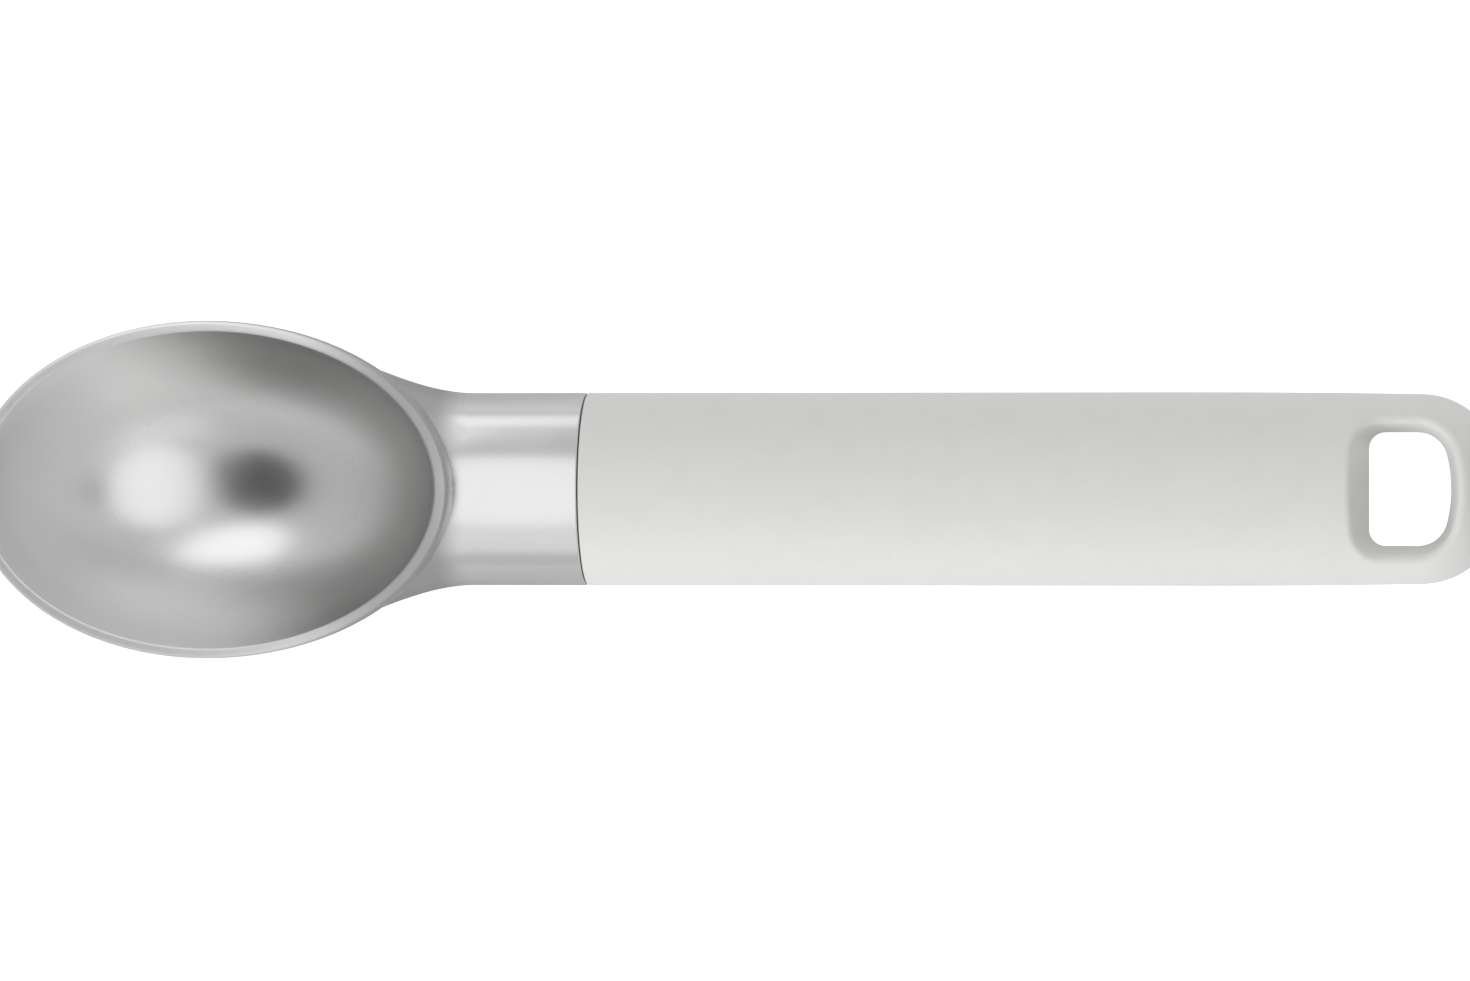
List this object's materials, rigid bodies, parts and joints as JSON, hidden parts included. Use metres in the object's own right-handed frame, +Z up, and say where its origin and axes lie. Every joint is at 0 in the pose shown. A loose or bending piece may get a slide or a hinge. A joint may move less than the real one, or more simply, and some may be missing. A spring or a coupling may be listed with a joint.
{
  "type": "ice cream scoop",
  "caption": "Ice cream scoop with a deep egg-shaped satin metal bowl that flows through an oval neck into a straight off-white plastic grip with a hang hole near its rounded end.",
  "frame": {"origin": "under the middle of the scoop's length, on the surface that it rests on", "axes": "+X along the grip from the bowl's tip to the hang hole, +Y to the side, +Z up out of the bowl's mouth"},
  "size_m": [0.2162, 0.0478, 0.026],
  "materials": {
    "satin_metal": "satin plating on a casting, fine grain with no brush lines",
    "core_plastic": "plain moulded, unseen inside the grip",
    "grip_plastic": "satin off-white with a very fine moulded texture"
  },
  "bodies": {
    "root": {"scoop_head": "satin_metal", "handle_core": "core_plastic", "handle_shell": "grip_plastic"}
  },
  "joints": []
}
